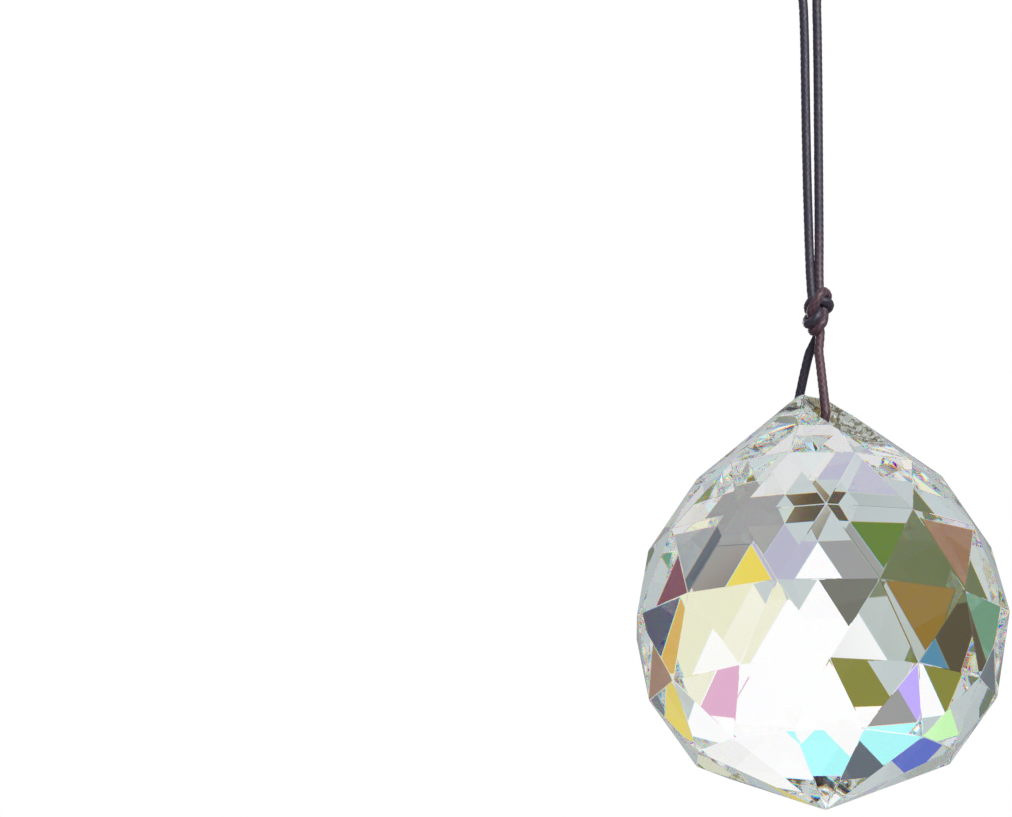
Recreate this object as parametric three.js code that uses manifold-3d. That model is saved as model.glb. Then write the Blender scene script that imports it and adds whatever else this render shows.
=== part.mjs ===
// A 50 mm faceted crystal ball that hangs in a window on a thin waxed cord.
//
// Millimetres, +Z up. The origin is where the part hangs: the top of the opening inside the cord's
// loop. The ball hangs on the Z axis below it. Azimuths turn about Z from the front (-Y) towards +X.

import * as THREE from "three";
import { mergeVertices } from "three/addons/utils/BufferGeometryUtils.js";
import Module from "manifold-3d";

const wasm = await Module();
wasm.setup();

// ---- Driving dimensions ----

const hangDrop = 100; // from the origin down to the middle of the ball
const facetsAround = 12; // facets in each row round the ball

// The facet corners lie on rings. Heights are above the middle of the ball. Each ring below the
// shoulder is turned half a facet against the one above it, which makes rows of triangles.
const flatTip = { radius: 1.95, height: 31 };
const shoulder = { radius: 16.58, height: 18.9 };
const upperRing = { radius: 22.5, height: 10.3 };
const girdle = { radius: 25, height: 0 };
const lowerRing = { radius: 22.65, height: -9.9 };
const keelRing = { radius: 17.1, height: -17.75 };
const bottomPoint = -24.65;

// The tip and its hole are cut a little off the axis, to the left.
const tipShift = -0.74;

// The hole under the tip: a straight bore, and on both sides a long scoop ground down the slope.
const boreAzimuth = THREE.MathUtils.degToRad(35);
const bore = { diameter: 2.4, height: 26.25, sides: 24 };
const scoop = { out: 20.5, height: 60, alongHalf: 29, acrossHalf: 15.3, upHalf: 40, around: 144, rows: 104 };
const mouth = { out: 3.3, height: 27.4, radius: 2.1, around: 24, rows: 16 };

// The cord, 1.2 mm thick, and the knot that closes on both strands above the ball. The knot is a
// core with wraps round it, each at a share of the knot's height from its middle.
const cordDiameter = 1.2;
const cordSides = 8;
const cordSteps = 40;
const knot = { x: 0.25, bottom: 39.3, top: 46.3, coreWidth: 2.7, coreDepth: 2.5 };
const wrap = { radius: 1.28, thickness: 1.3, sides: 8, steps: 20 };
const wraps = [
  { share: -0.28, tilt: 28, heading: -35 },
  { share: 0.02, tilt: -30, heading: 20 },
  { share: 0.29, tilt: 24, heading: 75 },
];

// ---- Helpers ----

// A closed three.js geometry as a manifold solid.
function solid(geometry) {
  const bare = geometry.clone();
  bare.deleteAttribute("normal");
  bare.deleteAttribute("uv");
  const merged = mergeVertices(bare, 1e-5);
  return new wasm.Manifold(
    new wasm.Mesh({
      numProp: 3,
      vertProperties: new Float32Array(merged.attributes.position.array),
      triVerts: new Uint32Array(merged.index.array),
    }),
  );
}

// A manifold solid as a three.js geometry.
function geometryOf(manifold) {
  const mesh = manifold.getMesh();
  const geometry = new THREE.BufferGeometry();
  geometry.setAttribute("position", new THREE.BufferAttribute(new Float32Array(mesh.vertProperties), 3));
  geometry.setIndex(new THREE.BufferAttribute(new Uint32Array(mesh.triVerts), 1));
  return geometry;
}

// The corners of one ring, turned by a number of facets.
function ringCorners(ring, turn) {
  return Array.from({ length: facetsAround }, (_, i) => {
    const azimuth = ((i + turn) / facetsAround) * 2 * Math.PI;
    return new THREE.Vector3(ring.radius * Math.sin(azimuth), -ring.radius * Math.cos(azimuth), ring.height);
  });
}

// A point given along the bore, across it and up, in the ball's frame.
function besideBore([along, across, up]) {
  return new THREE.Vector3(
    along * Math.sin(boreAzimuth) + across * Math.cos(boreAzimuth) + tipShift,
    -along * Math.cos(boreAzimuth) + across * Math.sin(boreAzimuth),
    up,
  );
}

// ---- The crystal ball ----

function facetedBlank() {
  const tipPlace = new THREE.Vector3(tipShift, 0, 0);
  const rings = [
    ringCorners(flatTip, 0.5).map((corner) => corner.add(tipPlace)),
    ringCorners(shoulder, 0.5),
    ringCorners(upperRing, 0),
    ringCorners(girdle, 0.5),
    ringCorners(lowerRing, 0),
    ringCorners(keelRing, 0.5),
  ];
  const corners = rings.flat();
  const tipCentre = corners.push(new THREE.Vector3(tipShift, 0, flatTip.height)) - 1;
  const bottom = corners.push(new THREE.Vector3(0, 0, bottomPoint)) - 1;
  const at = (ring, i) => ring * facetsAround + ((i + facetsAround) % facetsAround);
  const last = rings.length - 1;
  const faces = [];
  for (let i = 0; i < facetsAround; i++) {
    faces.push([tipCentre, at(0, i), at(0, i + 1)]);
    faces.push([at(0, i), at(1, i), at(1, i + 1)], [at(0, i), at(1, i + 1), at(0, i + 1)]);
    for (let ring = 1; ring < last; ring++) {
      const lead = ring % 2; // the odd rings stand half a facet ahead
      faces.push([at(ring, i), at(ring + 1, i + lead), at(ring, i + 1)]);
      faces.push([at(ring + 1, i), at(ring + 1, i + 1), at(ring, i + 1 - lead)]);
    }
    faces.push([at(last, i), bottom, at(last, i + 1)]);
  }
  const geometry = new THREE.BufferGeometry();
  geometry.setFromPoints(corners);
  geometry.setIndex(faces.flat());
  return geometry;
}

// The scoop on one side: an ellipsoid that stands out from the slope, cut by a grinding wheel.
function scoopCutter(side) {
  const geometry = new THREE.SphereGeometry(1, scoop.around, scoop.rows);
  geometry.rotateX(Math.PI / 2);
  geometry.scale(scoop.acrossHalf, scoop.alongHalf, scoop.upHalf);
  geometry.rotateZ(boreAzimuth);
  const centre = besideBore([side * scoop.out, 0, scoop.height]);
  geometry.translate(centre.x, centre.y, centre.z);
  return solid(geometry);
}

// The rounded pocket where the bore comes out into the scoop.
function mouthCutter(side) {
  const geometry = new THREE.SphereGeometry(mouth.radius, mouth.around, mouth.rows);
  const centre = besideBore([side * mouth.out, 0, mouth.height]);
  geometry.translate(centre.x, centre.y, centre.z);
  return solid(geometry);
}

function boreCutter() {
  const length = 2 * (scoop.out + mouth.radius);
  const geometry = new THREE.CylinderGeometry(bore.diameter / 2, bore.diameter / 2, length, bore.sides);
  geometry.rotateZ(boreAzimuth);
  geometry.translate(tipShift, 0, bore.height);
  return solid(geometry);
}

function crystalBall() {
  let ball = solid(facetedBlank()).subtract(boreCutter());
  for (const side of [1, -1]) {
    ball = ball.subtract(scoopCutter(side)).subtract(mouthCutter(side));
  }
  return geometryOf(ball);
}

// ---- The cord ----

// From the knot down the front strand, through the bore and up the back strand:
// along the bore, across it, and up from the middle of the ball.
const lowerRoute = [
  [1.0, 0.6, 39.0],
  [1.35, 0.5, 37.3],
  [1.75, 0.4, 35.35],
  [2.15, 0.29, 33.4],
  [2.55, 0.18, 31.45],
  [2.9, 0.08, 29.75],
  [3.2, 0, 28.1],
  [2.99, 0, 27.3],
  [2.4, 0, 26.71],
  [1.6, 0, 26.5],
  [0.5, 0, 26.45],
  [-0.6, 0, 26.45],
  [-1.6, 0, 26.5],
  [-2.6, 0, 26.62],
  [-3.4, 0, 27.0],
  [-3.85, 0, 27.65],
  [-3.95, 0, 28.5],
  [-3.6, 0.05, 29.4],
  [-2.95, 0.14, 31.1],
  [-2.25, 0.24, 33.15],
  [-1.55, 0.34, 35.2],
  [-0.85, 0.44, 37.2],
  [-0.24, 0.52, 39.0],
];

// From the knot up the left strand, over the top of the loop and down the right strand: X, Y, Z.
const upperRoute = [
  [-0.4, 0, -53.4],
  [-0.48, 0, -48],
  [-0.54, 0, -40],
  [-0.54, 0, -33],
  [-0.5, 0, -25],
  [-0.47, 0, -18],
  [-0.6, 0, -12.5],
  [-1.15, 0, -8.6],
  [-2.1, 0, -5.4],
  [-2.9, 0, -2.8],
  [-2.55, 0, -0.7],
  [-1.4, 0, 0.4],
  [0, 0, 0.65],
  [1.4, 0, 0.4],
  [2.55, 0, -0.7],
  [3.0, 0, -2.8],
  [2.45, 0, -5.4],
  [1.7, 0, -8.6],
  [1.32, 0, -12.5],
  [1.27, 0, -18],
  [1.2, 0, -25],
  [1.08, 0, -33],
  [0.98, 0, -40],
  [0.85, 0, -48],
  [0.82, 0, -53.4],
];

// A plain round tube along a smooth curve through the points.
function cordTube(points) {
  const section = new THREE.Shape();
  for (let i = 0; i < cordSides; i++) {
    const turn = ((i + 0.5) / cordSides) * 2 * Math.PI;
    const place = [(cordDiameter / 2) * Math.cos(turn), (cordDiameter / 2) * Math.sin(turn)];
    if (i === 0) section.moveTo(...place);
    else section.lineTo(...place);
  }
  const route = new THREE.CatmullRomCurve3(points, false, "centripetal");
  return new THREE.ExtrudeGeometry(section, { steps: cordSteps, bevelEnabled: false, extrudePath: route });
}

// The knot's outer shape: three tilted wraps round a core.
function cordKnot() {
  const height = knot.top - knot.bottom;
  const core = new THREE.SphereGeometry(0.5, 16, 12);
  core.rotateX(Math.PI / 2);
  core.scale(knot.coreWidth, knot.coreDepth, height);
  let body = solid(core);
  for (const { share, tilt, heading } of wraps) {
    const ring = new THREE.TorusGeometry(wrap.radius, wrap.thickness / 2, wrap.sides, wrap.steps);
    ring.rotateY(THREE.MathUtils.degToRad(tilt));
    ring.rotateZ(THREE.MathUtils.degToRad(heading));
    ring.translate(0, 0, share * height);
    body = body.add(solid(ring));
  }
  return geometryOf(body);
}

// ---- The part ----

const crystal = new THREE.MeshStandardMaterial({ color: 0xe6ecec, roughness: 0.02, metalness: 0 });
const waxedCord = new THREE.MeshStandardMaterial({ color: 0x3b2529, roughness: 0.6, metalness: 0 });

function node(name, geometry, material, x, z) {
  const mesh = new THREE.Mesh(geometry, material);
  mesh.name = name;
  mesh.position.set(x, 0, z);
  return mesh;
}

const suncatcher = new THREE.Group();
suncatcher.add(
  node("crystal_ball", crystalBall(), crystal, 0, -hangDrop),
  node("cord_through_ball", cordTube(lowerRoute.map(besideBore)), waxedCord, 0, -hangDrop),
  node("cord_knot", cordKnot(), waxedCord, knot.x, (knot.bottom + knot.top) / 2 - hangDrop),
  node("cord_loop", cordTube(upperRoute.map((point) => new THREE.Vector3(...point))), waxedCord, 0, 0),
);

export default suncatcher;
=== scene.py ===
# %% [markdown]
# # A crystal suncatcher
# The real object is a cut ball of clear crystal, 50 mm across, that hangs in a window on a thin
# waxed cord. The ball has rows of flat facets and a point at the bottom. Under its flat tip a hole
# runs through it, and a wheel has ground a long hollow at each end of the hole. The cord goes
# through the hole, both strands close in one knot, and the strands go on up to a loop.
# This lesson loads the solid model as a fixed frame, then dresses it: cord, ball, light.

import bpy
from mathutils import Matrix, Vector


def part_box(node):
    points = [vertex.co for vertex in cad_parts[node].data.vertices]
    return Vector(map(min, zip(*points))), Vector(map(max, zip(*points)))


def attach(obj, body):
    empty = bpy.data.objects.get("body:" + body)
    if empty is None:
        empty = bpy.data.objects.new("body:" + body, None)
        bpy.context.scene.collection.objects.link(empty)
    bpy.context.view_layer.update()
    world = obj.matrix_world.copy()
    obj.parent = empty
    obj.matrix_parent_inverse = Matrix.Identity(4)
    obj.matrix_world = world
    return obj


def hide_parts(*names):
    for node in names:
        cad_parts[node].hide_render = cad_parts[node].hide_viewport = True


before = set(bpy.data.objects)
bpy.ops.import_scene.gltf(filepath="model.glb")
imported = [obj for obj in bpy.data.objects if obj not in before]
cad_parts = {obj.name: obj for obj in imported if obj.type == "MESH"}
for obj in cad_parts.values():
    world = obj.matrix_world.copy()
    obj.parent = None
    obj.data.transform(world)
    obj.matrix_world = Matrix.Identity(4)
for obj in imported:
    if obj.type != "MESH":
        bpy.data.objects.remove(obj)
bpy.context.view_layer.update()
print("nodes:", sorted(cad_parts))

# %% The modules used below
from math import atan2, ceil, cos, radians, sin, tau

import bmesh
import bpy
import numpy as np
from mathutils import Matrix, Vector

MM = 0.001  # sizes are written in millimetres and Blender works in metres
scene = bpy.context.scene

# %% [markdown]
# Places come from the frame. The origin is where the loop hangs. The ball is a bottom point, rows of
# facets and a flat tip, and its middle is level with the girdle, the widest ring. The hole runs
# across, turned 35 degrees from the front, so two directions are handy: along the bore and across it.

# %% Places taken from the frame
ball_low = Vector(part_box("crystal_ball")[0])
bottom_point = -24.65 * MM  # the lowest corner, below the middle
middle = Vector((0.0, 0.0, ball_low[2] - bottom_point))
tip_shift = -0.74  # mm: the tip and its hole are cut this far to the left of the axis
bore_azimuth = radians(35)
along_bore = Vector((sin(bore_azimuth), -cos(bore_azimuth), 0.0))
up = Vector((0.0, 0.0, 1.0))
print("middle of the ball:", [round(c / MM, 2) for c in middle], "mm")


def towards(azimuth, elevation):
    """A unit direction: azimuth in degrees from the front towards +X, elevation up."""
    a, e = radians(azimuth), radians(elevation)
    return Vector((sin(a) * cos(e), -cos(a) * cos(e), sin(e)))


# %% [markdown]
# The camera looks up at the ball from a little below, through a long lens. A long lens is kind to
# facets: it keeps them true to shape. The ball hangs at the right of the picture, so the camera aims
# at a point beside it, and a hair of roll leans the cord as a hand-held camera does.

# %% The camera
camera_distance = 700 * MM
camera_place = middle + camera_distance * towards(-2.443, -13.966)
camera_aim = middle + Vector((-41.07, 0.0, 29.99)) * MM
camera_roll = radians(-0.34)

camera = bpy.data.objects.new("camera", bpy.data.cameras.new("camera"))
camera.data.sensor_width = 36
camera.data.lens = 190
camera.data.clip_start = 0.01
looking = (camera_aim - camera_place).to_track_quat("-Z", "Y").to_matrix()
camera.matrix_world = (
    Matrix.Translation(camera_place) @ looking.to_4x4() @ Matrix.Rotation(camera_roll, 4, "Z")
)
scene.collection.objects.link(camera)
scene.camera = camera
print("camera looks", round(camera_place.z / MM), "mm below the hanging point")

# %% [markdown]
# The cord is one length of 1.2 mm waxed cord. It starts and ends inside the bore, where its ends meet. Its
# straight runs are a smooth curve through listed points. The lower route is from the knot down the front
# strand, through the bore and up the back strand, given along the bore, across it and up from the middle of
# the ball. The upper route goes from the knot up the left strand, over the loop and down the right strand,
# in the part's own X, Y and Z.

# %% The cord's straight runs
cord_diameter = 1.2 * MM

lower_route = [
    (1.35, 0.5, 37.3),
    (1.75, 0.4, 35.35),
    (2.15, 0.29, 33.4),
    (2.55, 0.18, 31.45),
    (2.9, 0.08, 29.75),
    (3.2, 0, 28.1),
    (2.99, 0, 27.3),
    (2.4, 0, 26.71),
    (1.6, 0, 26.5),
    (0.5, 0, 26.45),
    (-0.6, 0, 26.45),
    (-1.6, 0, 26.5),
    (-2.6, 0, 26.62),
    (-3.4, 0, 27.0),
    (-3.85, 0, 27.65),
    (-3.95, 0, 28.5),
    (-3.6, 0.05, 29.4),
    (-2.95, 0.14, 31.1),
    (-2.25, 0.24, 33.15),
    (-1.55, 0.34, 35.2),
    (-0.85, 0.44, 37.2),
]
upper_route = [
    (-0.48, 0, -48),
    (-0.54, 0, -40),
    (-0.54, 0, -33),
    (-0.5, 0, -25),
    (-0.47, 0, -18),
    (-0.6, 0, -12.5),
    (-1.15, 0, -8.6),
    (-2.1, 0, -5.4),
    (-2.9, 0, -2.8),
    (-2.55, 0, -0.7),
    (-1.4, 0, 0.4),
    (0, 0, 0.65),
    (1.4, 0, 0.4),
    (2.55, 0, -0.7),
    (3.0, 0, -2.8),
    (2.45, 0, -5.4),
    (1.7, 0, -8.6),
    (1.32, 0, -12.5),
    (1.27, 0, -18),
    (1.2, 0, -25),
    (1.08, 0, -33),
    (0.98, 0, -40),
    (0.85, 0, -48),
]


def beside_bore(out, across, height):
    """A point given along the bore, across it and up from the middle of the ball, in millimetres."""
    across_bore = up.cross(along_bore)
    beside = Vector((tip_shift, 0.0, 0.0)) + along_bore * out + across_bore * across
    return middle + (beside + up * height) * MM


below_knot = [beside_bore(*point) for point in lower_route]
above_knot = [Vector(point) * MM for point in upper_route]
print(len(below_knot), "points below the knot and", len(above_knot), "above it")


# %% [markdown]
# A smooth curve through given points is a Catmull-Rom spline: each stretch bends only by its four nearest
# points, so a change stays local. The spacing of its knots follows the square root of each span, which keeps
# it from swinging wide in a tight turn.

# %% A smooth curve through points
def smooth_curve(points, step):
    """A Catmull-Rom curve through the points, as an array of places an even step apart."""
    p = np.array([tuple(point) for point in points])
    p = np.vstack([2 * p[0] - p[1], p, 2 * p[-1] - p[-2]])
    knots = np.concatenate([[0], np.cumsum(np.sqrt(np.linalg.norm(np.diff(p, axis=0), axis=1)))])
    fine = []
    for i in range(1, len(p) - 2):
        t = np.linspace(knots[i], knots[i + 1], 24, endpoint=False)[:, None]

        def between(a, b, first, last):
            return (knots[last] - t) / (knots[last] - knots[first]) * a + (
                (t - knots[first]) / (knots[last] - knots[first]) * b
            )

        a1 = between(p[i - 1], p[i], i - 1, i)
        a2 = between(p[i], p[i + 1], i, i + 1)
        a3 = between(p[i + 1], p[i + 2], i + 1, i + 2)
        b1 = between(a1, a2, i - 1, i + 1)
        b2 = between(a2, a3, i, i + 2)
        fine.append(between(b1, b2, i, i + 1))
    return evenly(np.vstack(fine + [p[-2:-1]]), step)


def evenly(line, step):
    """The same line, with its points an even step apart."""
    run = np.concatenate([[0], np.cumsum(np.linalg.norm(np.diff(line, axis=0), axis=1))])
    stops = np.linspace(0, run[-1], max(2, round(run[-1] / step) + 1))
    return np.stack([np.interp(stops, run, line[:, axis]) for axis in range(3)], axis=1)


def length_of(line):
    return float(np.linalg.norm(np.diff(line, axis=0), axis=1).sum())


# %% [markdown]
# The knot is an overhand knot tied in both strands at once. Drawing it by hand would never lie
# right, so it is tied loosely and then pulled tight, as fingers do it. Two chains of points follow a
# loose overhand path. In each round the chains shrink, stiffness rounds their bends, and points that
# come closer than the cord is thick push each other apart. The cord is soft, so in the knot it may
# be pressed a little thinner than it is outside.

# %% Tie and tighten the knot
loose_overhand = [
    (0, 0, -14),
    (0, 0.4, -7),
    (0.4, 1.1, -3.4),
    (2.9, -0.9, -0.8),
    (2.4, 0.2, 2.2),
    (0, 1.2, 3.6),
    (-2.8, 0.2, 2.2),
    (-3.2, -0.6, -0.8),
    (-0.4, -1.2, -3.5),
    (2.6, 0.2, -3.6),
    (3.0, 1.2, -0.6),
    (0.8, 0.2, 1.2),
    (0, -1.2, 3.8),
    (0, -0.4, 7),
    (0, 0, 14),
]
knot_turn = radians(270)  # which side of the knot faces the front
knot_links = 100  # points on each strand
knot_rounds = 2400
knot_pressed = 1.06  # mm between two strands that press on each other
knot_pull = 0.08  # how far a strand is stretched before it stops shrinking
knot_stiffness = 0.25
knot_middle = np.array((0.15, 0.0, 41.9))  # above the middle of the ball, mm
knot_stretch = np.array((1.0, 1.0, 1.27))  # the ball's weight draws the knot long


def pull_tight(strands, held):
    """Two strands, each an array of points, drawn tight while their ends go to the held places."""
    count = len(strands[0])
    place = np.concatenate(strands)
    ends = [0, count - 1, count, 2 * count - 1]
    first_ends = place[ends].copy()
    whose = np.repeat([0, 1], count)
    rank = np.tile(np.arange(count), 2)
    left = np.r_[0 : count - 1, count : 2 * count - 1]
    link = np.array([length_of(strand) / (count - 1) for strand in strands])
    for turn in range(knot_rounds):
        share = min(1.0, 2 * turn / knot_rounds)
        place[ends] = first_ends * (1 - share) + held * share
        now = np.linalg.norm(place[left + 1] - place[left], axis=1).reshape(2, -1).mean(axis=1)
        shrunk = np.minimum(link, now) * 0.9988
        link = np.where(now / link < 1 + knot_pull, shrunk, link)
        wanted = np.repeat(link, count - 1)[:, None]
        for _ in range(5):
            gap = place[left + 1] - place[left]
            move = gap * (1 - wanted / np.linalg.norm(gap, axis=1)[:, None]) * 0.35
            shift = np.zeros_like(place)
            shift[left] += move
            shift[left + 1] -= move
            shift[ends] = 0
            place += shift
        for strand in (place[:count], place[count:]):
            strand[1:-1] += knot_stiffness * ((strand[:-2] + strand[2:]) / 2 - strand[1:-1])
        apart = place[:, None] - place[None]
        distance = np.sqrt((apart**2).sum(axis=2)) + 1e-9
        neighbours = ceil(1.5 * knot_pressed / link.mean())
        same_stretch = (whose[:, None] == whose) & (abs(rank[:, None] - rank) <= neighbours)
        close = (distance < knot_pressed) & ~same_stretch
        push = np.where(close, (knot_pressed - distance) / 2 / distance, 0)
        shift = (apart * push[:, :, None]).sum(axis=1)
        shift /= np.maximum(close.sum(axis=1)[:, None] ** 0.75, 1)
        shift[ends] = 0
        place += shift
    return place[:count], place[count:]


def loose_strands():
    """The two strands of the loose knot, side by side along one overhand path."""
    turn = Matrix.Rotation(knot_turn, 3, "Z")
    path = smooth_curve([turn @ Vector(point) for point in loose_overhand], 0.05)
    path = path[np.linspace(0, len(path) - 1, knot_links).round().astype(int)]
    heading = np.gradient(path, axis=0)
    beside = np.cross(heading, np.array(turn @ Vector((0, 1, 0))))
    beside /= np.maximum(np.linalg.norm(beside, axis=1)[:, None], 1e-9)
    for i in range(1, knot_links):
        if beside[i] @ beside[i - 1] < 0:
            beside[i] *= -1
    half = cord_diameter / MM / 2
    return path + beside * half, path - beside * half


print("loose knot:", round(length_of(loose_strands()[0]), 1), "mm a strand")

# %% Pull the knot tight between the straight runs
ends = (below_knot[0], above_knot[-1], below_knot[-1], above_knot[0])
held = np.array([(np.array(end - middle) / MM - knot_middle) / knot_stretch for end in ends])
strands = loose_strands()
if (strands[0][0] - strands[1][0]) @ np.array(along_bore) < 0:
    strands = strands[::-1]
front_strand, back_strand = pull_tight(strands, held)


def in_place(strand):
    """A strand of the knot, drawn long and set in its place."""
    return [middle + Vector(point * knot_stretch + knot_middle) * MM for point in strand]


front_in_knot, back_in_knot = in_place(front_strand), in_place(back_strand)
print("in the knot:", round(length_of(front_strand), 1), "and", round(length_of(back_strand), 1), "mm")

# %% [markdown]
# The whole route is put together in the order the cord runs: out of the front of the bore, up the
# front strand, through the knot, up and over the loop, down through the knot again and back into
# the bore from behind. A few rounds of smoothing let the joins run on without a kink.

# %% The cord's whole route
bore_point = 10  # the point of the lower route that is halfway through the bore
front_down = below_knot[1 : bore_point + 1]
back_up = below_knot[bore_point:-1]
over_loop = above_knot[1:-1]
route = (
    front_down[::-1] + front_in_knot[::2] + over_loop[::-1] + back_in_knot[::-1][::2] + back_up[::-1]
)
cord_step = 0.12 * MM
cord_line = smooth_curve(route, cord_step)
for _ in range(12):
    cord_line[1:-1] += ((cord_line[:-2] + cord_line[2:]) / 2 - cord_line[1:-1]) / 2
cord_line = evenly(cord_line, cord_step)
cord_length = length_of(cord_line)
print("cord:", round(cord_length / MM, 1), "mm in", len(cord_line), "rings")

# %% [markdown]
# The cord is a braid: one family of plaits winds to the right, the other to the left, and where they cross
# one passes over the other in turn. The tube is a ring of points that is extruded along the route, ring by
# ring, without twisting. Then each point moves in or out by the height of the braid there. As the tube is
# made, each point keeps the braid's height there and its share of the cord's length.

# %% The braid's height
plaits = 5  # wound each way
plait_lay = 4.6 * MM  # length of cord in one turn of a plait
plait_depth = 0.055 * MM
cord_sides = 30


def braid_height(run, turn):
    """From 0 in the grooves to 1 on the back of a plait, at a run along the cord and a turn round it."""
    right = plaits * turn + run * plaits / plait_lay
    left = plaits * turn - run * plaits / plait_lay
    over = (np.floor(right) + np.floor(left)) % 2
    across_right = abs(right % 1 - 0.5) * 2
    across_left = abs(left % 1 - 0.5) * 2
    across = np.where(over > 0.5, across_right, across_left)
    lengthwise = np.where(over > 0.5, across_left, across_right)
    return np.sqrt(np.clip(1 - across**2, 0, 1)) * (1 - 0.45 * lengthwise**2)


# %% The cord's mesh
def headings(line):
    """A turning frame at each point: the heading, and a side that never twists about it."""
    ahead = np.gradient(line, axis=0)
    ahead /= np.linalg.norm(ahead, axis=1)[:, None]
    side = Vector(ahead[0]).orthogonal().normalized()
    for i, heading in enumerate(ahead):
        if i:
            side = Vector(ahead[i - 1]).rotation_difference(Vector(heading)) @ side
        yield Vector(line[i]), Vector(heading), side


def braided_tube(line, radius):
    """A closed tube along the line, with the braid's height and the share of the length kept on each point.
    """
    bm = bmesh.new()
    braid = bm.verts.layers.float.new("braid")
    share = bm.verts.layers.float.new("share of length")
    whole = length_of(line)
    ring = bmesh.ops.create_circle(bm, segments=cord_sides, radius=radius)["verts"]
    edges = list({edge for vert in ring for edge in vert.link_edges})
    last, run = None, 0.0
    for place, heading, side in headings(line):
        turned = Matrix((side, heading.cross(side), heading)).transposed().to_4x4()
        pose = Matrix.Translation(place) @ turned
        if last is None:
            bmesh.ops.contextual_create(bm, geom=edges)
            bmesh.ops.transform(bm, matrix=pose, verts=ring)
        else:
            run += (place - last.translation).length
            made = bmesh.ops.extrude_edge_only(bm, edges=edges)["geom"]
            ring = [item for item in made if isinstance(item, bmesh.types.BMVert)]
            edges = [item for item in made if isinstance(item, bmesh.types.BMEdge)]
            bmesh.ops.transform(bm, matrix=pose @ last.inverted(), verts=ring)
        for vert in ring:
            out = vert.co - place
            turn = atan2(out @ heading.cross(side), out @ side) / tau
            vert[braid] = braid_height(run, turn)
            vert[share] = run / whole
        last = pose
    bmesh.ops.contextual_create(bm, geom=edges)
    bmesh.ops.recalc_face_normals(bm, faces=bm.faces)
    return bm


bm = braided_tube(cord_line, cord_diameter / 2)
bm.normal_update()
braid = bm.verts.layers.float["braid"]
for vert in bm.verts:
    vert.co += vert.normal * plait_depth * (vert[braid] - 0.35)
for face in bm.faces:
    face.smooth = True
print("cord:", len(bm.verts), "points,", len(bm.faces), "faces")


# %% [markdown]
# Two helpers keep the rest short. One turns a bmesh into an object at the origin. The other adds a
# shader node and sets its properties and inputs by name.

# %% Helpers for pieces and materials
def add_piece(name, bm, *materials):
    """A bmesh as an object at the origin, with its place in its mesh."""
    mesh = bpy.data.meshes.new(name)
    bm.to_mesh(mesh)
    bm.free()
    for material in materials:
        mesh.materials.append(material)
    piece = bpy.data.objects.new(name, mesh)
    scene.collection.objects.link(piece)
    return piece


def linear(red, green, blue):
    """A colour given as screens give it, 0 to 255, in the linear light that shaders work in."""
    light = [c / 255 / 12.92 if c <= 10 else ((c / 255 + 0.055) / 1.055) ** 2.4 for c in (red, green, blue)]
    return (*light, 1.0)


def empty_material(name):
    material = bpy.data.materials.new(name)
    material.use_nodes = True
    material.node_tree.nodes.clear()
    return material, material.node_tree


def add_node(tree, kind, **settings):
    """A node, with its properties and its inputs set by name."""
    node = tree.nodes.new(kind)
    for name, value in settings.items():
        if name in node.bl_rna.properties:
            setattr(node, name, value)
        else:
            node.inputs[name.replace("_", " ")].default_value = value
    return node


# %% [markdown]
# Wax, stone dust and a plain floor all vary a little from place to place. One node group gives that
# mottle to every material that needs it: a noise in the object's own space, stretched if need be,
# and turned into a value between two limits.

# %% A shared group: mottle
def mottle_group():
    group = bpy.data.node_groups.new("mottle", "ShaderNodeTree")
    for name, value in (("Size", 1 * MM), ("Detail", 3.0), ("Low", 0.0), ("High", 1.0)):
        socket = group.interface.new_socket(name, in_out="INPUT", socket_type="NodeSocketFloat")
        socket.default_value = value
    stretch = group.interface.new_socket("Stretch", in_out="INPUT", socket_type="NodeSocketVector")
    stretch.default_value = (1, 1, 1)
    turn = group.interface.new_socket("Turn", in_out="INPUT", socket_type="NodeSocketVector")
    turn.default_value = (0, 0, 0)
    group.interface.new_socket("Value", in_out="OUTPUT", socket_type="NodeSocketFloat")
    given = add_node(group, "NodeGroupInput")
    result = add_node(group, "NodeGroupOutput")
    where = add_node(group, "ShaderNodeTexCoord")
    mapping = add_node(group, "ShaderNodeMapping")
    scale = add_node(group, "ShaderNodeMath", operation="DIVIDE")
    scale.inputs[0].default_value = 1.0
    noise = add_node(group, "ShaderNodeTexNoise", noise_dimensions="3D", Roughness=0.6)
    limits = add_node(group, "ShaderNodeMapRange", From_Min=0.3, From_Max=0.7)
    join = group.links.new
    join(where.outputs["Object"], mapping.inputs["Vector"])
    join(given.outputs["Stretch"], mapping.inputs["Scale"])
    join(given.outputs["Turn"], mapping.inputs["Rotation"])
    join(given.outputs["Size"], scale.inputs[1])
    join(mapping.outputs["Vector"], noise.inputs["Vector"])
    join(scale.outputs["Value"], noise.inputs["Scale"])
    join(given.outputs["Detail"], noise.inputs["Detail"])
    join(noise.outputs["Fac"], limits.inputs["Value"])
    join(given.outputs["Low"], limits.inputs["To Min"])
    join(given.outputs["High"], limits.inputs["To Max"])
    join(limits.outputs["Result"], result.inputs["Value"])
    return group


mottle = mottle_group()


def add_mottle(tree, **settings):
    """The mottle group as a node in a material."""
    node = tree.nodes.new("ShaderNodeGroup")
    node.node_tree = mottle
    for name, value in settings.items():
        node.inputs[name].default_value = value
    return node.outputs["Value"]


print("shared group:", mottle.name, [item.name for item in mottle.interface.items_tree])
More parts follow.
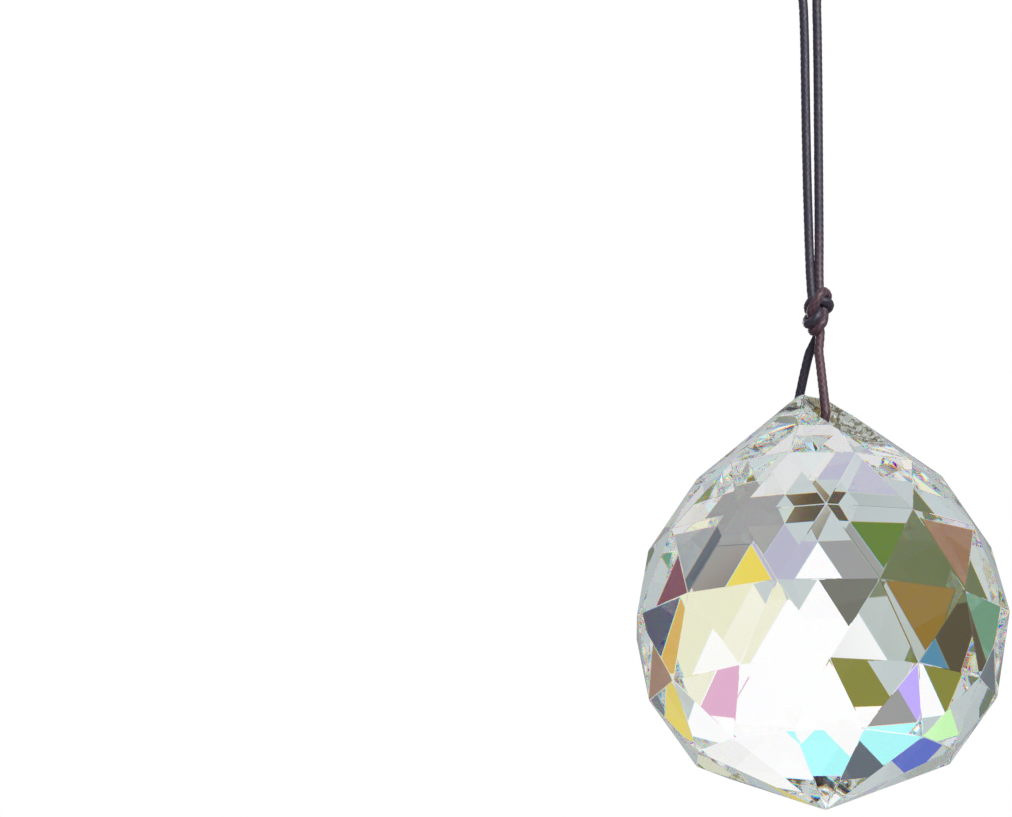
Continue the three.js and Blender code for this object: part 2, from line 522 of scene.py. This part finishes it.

# %% [markdown]
# The cord is cotton dyed dark brown and drawn through wax. The grooves of the braid are painted nearly
# black, a painted shade in the recesses, while the backs of the plaits show the brown and catch a pink gleam
# from the sheen. Along the cord the colour goes from red-brown on the front strand to blue-black further on.
# That is painted light and shade: the front strand lit warm, and the rest of the cord in bluish shade. A
# mottle varies it a little at random.

# %% The cord's finish
def waxed_cord():
    material, tree = empty_material("waxed cord")
    join = tree.links.new
    skin = add_node(tree, "ShaderNodeBsdfPrincipled", Roughness=0.5, IOR=1.45, Sheen_Weight=0.15)
    skin.inputs["Sheen Roughness"].default_value = 0.4
    skin.inputs["Sheen Tint"].default_value = linear(225, 190, 215)
    output = add_node(tree, "ShaderNodeOutputMaterial")
    height = add_node(tree, "ShaderNodeAttribute", attribute_name="braid")
    share = add_node(tree, "ShaderNodeAttribute", attribute_name="share of length")
    # painted light and shade: red-brown for the lit front strand, blue-black for the shaded rest of the
    # cord, with a random mottle on top
    shade_ramp_along_cord = add_node(tree, "ShaderNodeMapRange", From_Min=0.08, From_Max=0.3)
    shade_ramp_and_mottle = add_node(tree, "ShaderNodeMath", operation="ADD", use_clamp=True)
    painted_lit_and_shaded_cord = add_node(tree, "ShaderNodeMix", data_type="RGBA")
    painted_lit_and_shaded_cord.inputs["A"].default_value = linear(84, 55, 62)
    painted_lit_and_shaded_cord.inputs["B"].default_value = linear(42, 40, 55)
    join(share.outputs["Fac"], shade_ramp_along_cord.inputs["Value"])
    join(shade_ramp_along_cord.outputs["Result"], shade_ramp_and_mottle.inputs[0])
    join(add_mottle(tree, Size=5 * MM, Detail=2.0, Low=-0.3, High=0.3), shade_ramp_and_mottle.inputs[1])
    join(shade_ramp_and_mottle.outputs["Value"], painted_lit_and_shaded_cord.inputs["Factor"])
    # painted shade: nearly black in the grooves of the braid, the cord's colour on the backs of the plaits
    painted_groove_shade = add_node(tree, "ShaderNodeMix", data_type="RGBA")
    painted_groove_shade.inputs["A"].default_value = linear(22, 19, 30)
    join(height.outputs["Fac"], painted_groove_shade.inputs["Factor"])
    join(painted_lit_and_shaded_cord.outputs["Result"], painted_groove_shade.inputs["B"])
    join(painted_groove_shade.outputs["Result"], skin.inputs["Base Color"])
    join(add_mottle(tree, Size=0.5 * MM, Low=0.38, High=0.62), skin.inputs["Roughness"])
    fibres = add_node(tree, "ShaderNodeBump", Strength=0.35, Distance=0.03 * MM)
    join(add_mottle(tree, Size=0.12 * MM, Detail=2.0), fibres.inputs["Height"])
    join(fibres.outputs["Normal"], skin.inputs["Normal"])
    join(skin.outputs["BSDF"], output.inputs["Surface"])
    return material


cord = add_piece("cord", bm, waxed_cord())
tuple(below_knot[6])
[tuple(point) for point in cord_line[::4]]
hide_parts("cord_through_ball", "cord_knot", "cord_loop")
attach(cord, "root")
print("cord length", round(cord_length, 4), "m")

# %% [markdown]
# The ball keeps the solid's own shape. Its mesh is copied, the triangles of each flat facet are
# joined into one face, and the sharp edges between facets are worn down by a hair, because a polished
# edge is never quite sharp: it draws the thin bright line that tells one facet from the next. Where a
# hollow cuts a facet, a narrow strip of the facet leans inwards, as a worn lip does. The faces of the
# ground hollows and of the bore are shaded smooth and get a second material.

# %% The ball's mesh
edge_wear = 0.09 * MM
lip_width = 0.12 * MM
lip_depth = 0.05 * MM
flat_enough = 3.0 * MM**2  # a facet is larger than this, and a face of a hollow is smaller


def wear_lips(bm):
    """Round the lips of the hollows: a narrow strip of each facet that a hollow cuts leans inwards."""
    cut = [face for face in bm.faces if face.material_index == 0 and any(map(at_hollow, face.edges))]
    cut = [face for face in cut if face.calc_area() > flat_enough]
    lean = {}
    for face in cut:
        for edge in filter(at_hollow, face.edges):
            for vert in edge.verts:
                lean[vert] = face.normal.copy()
    bmesh.ops.inset_individual(bm, faces=cut, thickness=lip_width, use_even_offset=True)
    for vert, inward in lean.items():
        vert.co -= inward * lip_depth


def at_hollow(edge):
    """Whether an edge parts a facet from a ground hollow."""
    return {face.material_index for face in edge.link_faces} == {0, 1}


def cut_ball():
    bm = bmesh.new()
    bm.from_mesh(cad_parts["crystal_ball"].data)
    bmesh.ops.remove_doubles(bm, verts=bm.verts, dist=0.001 * MM)
    bmesh.ops.dissolve_limit(bm, angle_limit=radians(0.4), verts=bm.verts, edges=bm.edges)
    bm.normal_update()
    facets = {face for face in bm.faces if face.calc_area() > flat_enough}
    for face in bm.faces:
        face.smooth = face not in facets
        face.material_index = 0 if face in facets else 1
    whole = [edge for edge in bm.edges if len(edge.link_faces) == 2]
    arrises = [edge for edge in whole if facets.issuperset(edge.link_faces)]
    bmesh.ops.bevel(
        bm, geom=arrises, offset=edge_wear, segments=2, profile=0.5, affect="EDGES", material=-1
    )
    wear_lips(bm)
    print("ball:", len(facets), "facets,", len(arrises), "worn edges,", len(bm.faces), "faces")
    return bm


# %% [markdown]
# Clear crystal bends light by an index of 1.517, and a little more for blue than for red, which
# splits white light into colours at each edge between bright and dark. One shader has one index, so
# where the camera looks in, three are added: one for each colour, each with its own index. Behind
# the first surface one plain shader is enough, and it keeps the picture free of grain.
# The wheel leaves scratches in the hollows along the bore. They are painted dark green and bright white, a
# painted reflection of the room's green and white seen through the hollows. Over each end of the hole a
# brownish patch is painted: a painted shadow of the cord, and a painted image of the cord seen through the
# crystal.

# %% Polished and ground crystal
crystal_index = 1.517
colour_spread = 0.004  # of the index, from red to green and from green to blue


def polished_crystal():
    material, tree = empty_material("polished crystal")
    join = tree.links.new
    plain = add_node(
        tree,
        "ShaderNodeBsdfPrincipled",
        Base_Color=(1, 1, 1, 1),
        IOR=crystal_index,
        Roughness=0.0,
        Transmission_Weight=1.0,
    )
    bent = None
    for colour, step in (((1, 0, 0, 1), -1), ((0, 1, 0, 1), 0), ((0, 0, 1, 1), 1)):
        index = crystal_index + step * colour_spread
        part = add_node(tree, "ShaderNodeBsdfRefraction", Color=colour, IOR=index, Roughness=0.0)
        if bent is None:
            bent = part
        else:
            both = add_node(tree, "ShaderNodeAddShader")
            join(bent.outputs[0], both.inputs[0])
            join(part.outputs[0], both.inputs[1])
            bent = both
    mirrored = add_node(tree, "ShaderNodeBsdfGlossy", Color=(1, 1, 1, 1), Roughness=0.0)
    share = add_node(tree, "ShaderNodeFresnel", IOR=crystal_index)
    seen = add_node(tree, "ShaderNodeMixShader")
    path = add_node(tree, "ShaderNodeLightPath")
    choice = add_node(tree, "ShaderNodeMixShader")
    output = add_node(tree, "ShaderNodeOutputMaterial")
    join(share.outputs[0], seen.inputs[0])
    join(bent.outputs[0], seen.inputs[1])
    join(mirrored.outputs[0], seen.inputs[2])
    join(path.outputs["Is Camera Ray"], choice.inputs[0])
    join(plain.outputs[0], choice.inputs[1])
    join(seen.outputs[0], choice.inputs[2])
    join(choice.outputs[0], output.inputs["Surface"])
    return material


cord_shadow_out = 1.9  # mm along the bore, from its middle to the middle of each painted cord shadow
cord_shadow_height = 29.5  # mm above the middle of the ball
cord_shadow_full = 1.6 * MM  # the painted cord shadow has its full colour this close to its middle
cord_shadow_gone = 2.5 * MM  # and none this far from it


def ground_crystal():
    material, tree = empty_material("ground crystal")
    join = tree.links.new
    skin = add_node(
        tree,
        "ShaderNodeBsdfPrincipled",
        IOR=crystal_index,
        Transmission_Weight=1.0,
    )
    output = add_node(tree, "ShaderNodeOutputMaterial")
    where = add_node(tree, "ShaderNodeTexCoord")
    # painted shadow: a brownish patch over each end of the hole, for the cord's shadow and the cord seen
    # through the crystal
    painted_cord_shadow = None
    for side in (1, -1):
        away = add_node(tree, "ShaderNodeVectorMath", operation="DISTANCE")
        away.inputs[1].default_value = beside_bore(side * cord_shadow_out, 0, cord_shadow_height)
        near = add_node(tree, "ShaderNodeMapRange", From_Min=cord_shadow_gone, From_Max=cord_shadow_full)
        join(where.outputs["Object"], away.inputs[0])
        join(away.outputs["Value"], near.inputs["Value"])
        either = add_node(tree, "ShaderNodeMath", operation="MAXIMUM")
        join(near.outputs["Result"], either.inputs[0])
        if painted_cord_shadow is not None:
            join(painted_cord_shadow, either.inputs[1])
        painted_cord_shadow = either.outputs["Value"]
    grain = dict(Stretch=(1, 0.2, 1), Turn=(0, 0, -bore_azimuth))
    # scratches along the bore, painted dark green and white: a painted reflection of the room's green and
    # white in the hollows
    scores_and_painted_reflection = add_node(tree, "ShaderNodeMix", data_type="RGBA")
    scores_and_painted_reflection.inputs["A"].default_value = linear(34, 54, 48)
    scores_and_painted_reflection.inputs["B"].default_value = linear(250, 255, 253)
    join(add_mottle(tree, Size=0.6 * MM, Detail=0.5, Low=-1.9, High=4.1, **grain), scores_and_painted_reflection.inputs["Factor"])
    # the painted cord shadow's brown laid over the hollows' colour
    cord_shadow_mix = add_node(tree, "ShaderNodeMix", data_type="RGBA")
    cord_shadow_mix.inputs["B"].default_value = linear(132, 112, 72)
    join(scores_and_painted_reflection.outputs["Result"], cord_shadow_mix.inputs["A"])
    join(painted_cord_shadow, cord_shadow_mix.inputs["Factor"])
    join(cord_shadow_mix.outputs["Result"], skin.inputs["Base Color"])
    join(add_mottle(tree, Size=0.9 * MM, Low=0.0, High=0.012, **grain), skin.inputs["Roughness"])
    streaks = add_node(tree, "ShaderNodeBump", Strength=0.22, Distance=0.05 * MM)
    join(add_mottle(tree, Size=2.4 * MM, Detail=0.5, **grain), streaks.inputs["Height"])
    join(streaks.outputs["Normal"], skin.inputs["Normal"])
    join(skin.outputs["BSDF"], output.inputs["Surface"])
    return material


crystal_ball = add_piece("cut_crystal_ball", cut_ball(), polished_crystal(), ground_crystal())
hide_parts("crystal_ball")
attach(crystal_ball, "root")

# %% [markdown]
# The floor is a plain pale sheet, well below the ball. It glows a little, so that it stays evenly
# pale however far it runs.

# %% The floor
floor_height = -350 * MM


def floor_finish():
    material, tree = empty_material("pale floor")
    paper = add_node(tree, "ShaderNodeBsdfPrincipled", Base_Color=linear(232, 231, 228), Roughness=0.85)
    paper.inputs["Emission Color"].default_value = linear(232, 231, 228)
    paper.inputs["Emission Strength"].default_value = 0.65
    output = add_node(tree, "ShaderNodeOutputMaterial")
    tree.links.new(add_mottle(tree, Size=40 * MM, Low=0.8, High=0.9), paper.inputs["Roughness"])
    tree.links.new(paper.outputs["BSDF"], output.inputs["Surface"])
    return material


bm = bmesh.new()
bmesh.ops.create_grid(bm, x_segments=4, y_segments=4, size=4.0)
bmesh.ops.translate(bm, vec=(0, 0, floor_height), verts=bm.verts)
floor = add_piece("floor", bm, floor_finish())
floor.visible_transmission = False
floor.visible_glossy = False

# %% [markdown]
# A crystal ball shows the room, not itself. Each facet in front and the facet behind it make a prism that
# looks in one direction only, so the picture in the ball is a patchwork of small spots of the room. A studio
# dresses crystal with a bright window and small coloured cards round the object, out of the picture. Here
# they are painted on the world: each card is a soft-edged spot in a direction, laid over a pale room. They
# are set out on five-degree steps, in a few plain paints: a bright window high behind the ball, a garden to
# the right and a grey wall to the left. The camera and the cord see a plain white studio in their stead.

# %% The cards round the crystal
paints = {
    "white": (250, 250, 250), "pale grey": (220, 220, 220), "grey": (150, 150, 150), "slate": (90, 100, 110),
    "cream": (230, 230, 200), "lavender": (180, 180, 200), "taupe": (110, 110, 100), "bark": (80, 70, 50),
    "hedge": (100, 110, 70), "leaf": (90, 120, 30), "olive": (130, 130, 50), "ochre": (140, 110, 40),
    "terracotta": (150, 110, 80), "gold": (210, 170, 80), "lemon": (230, 210, 90), "maroon": (120, 60, 80),
    "navy": (40, 40, 80), "rose": (220, 170, 200), "aqua": (170, 250, 250), "blue": (80, 100, 200),
    "petrol": (70, 130, 160), "violet": (190, 170, 250), "mint": (200, 250, 180), "jade": (100, 150, 120),
}
cards = [
    # the room's large areas: azimuth, elevation and half width in degrees, then the paint
    ("wall on the left", 145, 10, 20, "cream"),
    ("floor", 200, -60, 20, "pale grey"),
    ("floor on the left", 145, -35, 20, "pale grey"),
    ("shadow on the wall", 150, -15, 15, "grey"),
    ("garden on the right", 210, 0, 20, "hedge"),
    ("tall window", 165, 40, 25, "white"),
    ("foot of the window", 175, 20, 10, "white"),
    ("window on the right", 200, 30, 10, "white"),
    ("shelf", 200, -35, 10, "lavender"),
    ("far right window", 260, 25, 10, "white"),
    ("far right wall", 260, -5, 10, "cream"),
    ("far left window", 100, 30, 10, "white"),
    ("far left wall", 95, 0, 10, "cream"),
    # small cards, from the top down
    ("overhead", 165, 85, 5, "aqua"),
    ("lamp", 145, 65, 5, "lemon"),
    ("night sky", 220, 50, 5, "blue"),
    ("roof", 190, 55, 5, "slate"),
    ("sky", 175, 50, 5, "aqua"),
    ("more sky", 200, 45, 5, "aqua"),
    ("new leaves", 215, 35, 5, "mint"),
    ("yellow card", 120, 35, 5, "lemon"),
    ("pink card", 155, 30, 5, "rose"),
    ("window bar", 190, 30, 5, "grey"),
    ("dry grass", 185, 25, 5, "olive"),
    ("violet card", 200, 25, 3, "violet"),
    ("blind", 240, 25, 5, "slate"),
    ("chair", 120, 20, 5, "terracotta"),
    ("blue card", 205, 20, 3, "petrol"),
    ("shrub", 210, 20, 5, "olive"),
    ("gold card", 140, 15, 2, "gold"),
    ("under the trees", 215, 15, 5, "bark"),
    ("post", 185, 10, 5, "taupe"),
    ("path", 200, 10, 5, "ochre"),
    ("pale card", 160, 5, 2, "lemon"),
    ("sill", 180, 5, 3, "white"),
    ("curtain", 120, 5, 5, "navy"),
    ("lawn", 235, 5, 5, "jade"),
    ("book", 135, 0, 4, "maroon"),
    ("silver card", 170, 0, 5, "lavender"),
    ("stone", 185, 0, 3, "grey"),
    ("grass", 195, -5, 5, "leaf"),
    ("slate card", 150, -5, 3, "slate"),
    ("brick", 220, -10, 5, "terracotta"),
    ("shelf's edge", 175, -15, 3, "bark"),
    ("doorstep", 220, -20, 3, "white"),
    ("rug", 165, -25, 5, "cream"),
    ("white sheet", 225, -45, 5, "white"),
    ("far right tree", 260, 5, 3, "jade"),
    ("far right chest", 265, -15, 5, "terracotta"),
    ("far left vase", 100, -10, 5, "petrol"),
]
room = linear(190, 200, 200)
card_full = 0.85  # of a card's half width: its full colour reaches this far
card_gone = 1.15  # of a card's half width: its soft edge ends here
room_strength = 1.09
soft_strength = 0.45


def card_room(tree):
    """The room's colour in each direction: the cards laid over the pale room, one by one."""
    join = tree.links.new
    where = add_node(tree, "ShaderNodeTexCoord")
    apart = add_node(tree, "ShaderNodeSeparateXYZ")
    behind = add_node(tree, "ShaderNodeMath", operation="ABSOLUTE")
    folded = add_node(tree, "ShaderNodeCombineXYZ")
    join(where.outputs["Generated"], apart.inputs[0])
    join(apart.outputs["Y"], behind.inputs[0])
    join(apart.outputs["X"], folded.inputs["X"])
    join(behind.outputs[0], folded.inputs["Y"])
    join(apart.outputs["Z"], folded.inputs["Z"])
    seen = None
    for name, azimuth, elevation, half_width, paint in cards:
        facing = add_node(tree, "ShaderNodeVectorMath", operation="DOT_PRODUCT", label=name)
        facing.inputs[1].default_value = towards(azimuth, elevation)
        edge = add_node(tree, "ShaderNodeMapRange", interpolation_type="SMOOTHSTEP")
        edge.inputs["From Min"].default_value = cos(radians(half_width * card_gone))
        edge.inputs["From Max"].default_value = cos(radians(half_width * card_full))
        over = add_node(tree, "ShaderNodeMix", data_type="RGBA")
        over.inputs["B"].default_value = linear(*paints[paint])
        join(folded.outputs[0], facing.inputs[0])
        join(facing.outputs["Value"], edge.inputs["Value"])
        join(edge.outputs["Result"], over.inputs["Factor"])
        if seen is None:
            over.inputs["A"].default_value = room
        else:
            join(seen, over.inputs["A"])
        seen = over.outputs["Result"]
    return seen


def light_world():
    world = bpy.data.worlds.new("studio")
    world.use_nodes = True
    tree = world.node_tree
    tree.nodes.clear()
    join = tree.links.new
    around = add_node(tree, "ShaderNodeBackground", Strength=room_strength)
    join(card_room(tree), around.inputs["Color"])
    backdrop = add_node(tree, "ShaderNodeBackground", Color=(1, 1, 1, 1), Strength=1.0)
    soft = add_node(
        tree, "ShaderNodeBackground", Color=linear(238, 240, 255), Strength=soft_strength
    )
    mirrored = add_node(tree, "ShaderNodeBackground", Color=linear(150, 153, 158), Strength=1.0)
    path = add_node(tree, "ShaderNodeLightPath")
    by_matt = add_node(tree, "ShaderNodeMixShader")
    by_mirror = add_node(tree, "ShaderNodeMixShader")
    by_glass = add_node(tree, "ShaderNodeMixShader")
    output = add_node(tree, "ShaderNodeOutputWorld")
    join(path.outputs["Is Diffuse Ray"], by_matt.inputs[0])
    join(backdrop.outputs[0], by_matt.inputs[1])
    join(soft.outputs[0], by_matt.inputs[2])
    join(path.outputs["Is Glossy Ray"], by_mirror.inputs[0])
    join(by_matt.outputs[0], by_mirror.inputs[1])
    join(mirrored.outputs[0], by_mirror.inputs[2])
    join(path.outputs["Is Transmission Ray"], by_glass.inputs[0])
    join(by_mirror.outputs[0], by_glass.inputs[1])
    join(around.outputs[0], by_glass.inputs[2])
    join(by_glass.outputs[0], output.inputs["Surface"])
    scene.world = world


light_world()


# %% [markdown]
# Two large soft lamps shine on the cord alone: one high in front, a little to the right, gives it its
# round shape, and a weaker one fills in its far side. The crystal and the floor take their light from
# the world.

# %% The lamp and the picture's tones
def add_lamp(name, azimuth, elevation, distance, width, power):
    lamp = bpy.data.objects.new(name, bpy.data.lights.new(name, "AREA"))
    lamp.data.shape = "DISK"
    lamp.data.size = width
    lamp.data.energy = power
    way = towards(azimuth, elevation)
    turned = way.to_track_quat("Z", "Y").to_matrix().to_4x4()
    lamp.matrix_world = Matrix.Translation(middle + way * distance) @ turned
    lamp.visible_camera = False
    lamp.visible_transmission = False
    lamp.light_linking.receiver_collection = lit
    scene.collection.objects.link(lamp)
    return lamp


lit = bpy.data.collections.new("lit by the lamps")
lit.objects.link(cord)
add_lamp("soft lamp", azimuth=30, elevation=30, distance=1.1, width=0.5, power=15)
add_lamp("fill from behind", azimuth=200, elevation=15, distance=1.1, width=0.6, power=7)

scene.view_settings.view_transform = "Standard"
scene.cycles.max_bounces = 32
scene.cycles.transmission_bounces = 32
scene.cycles.glossy_bounces = 32
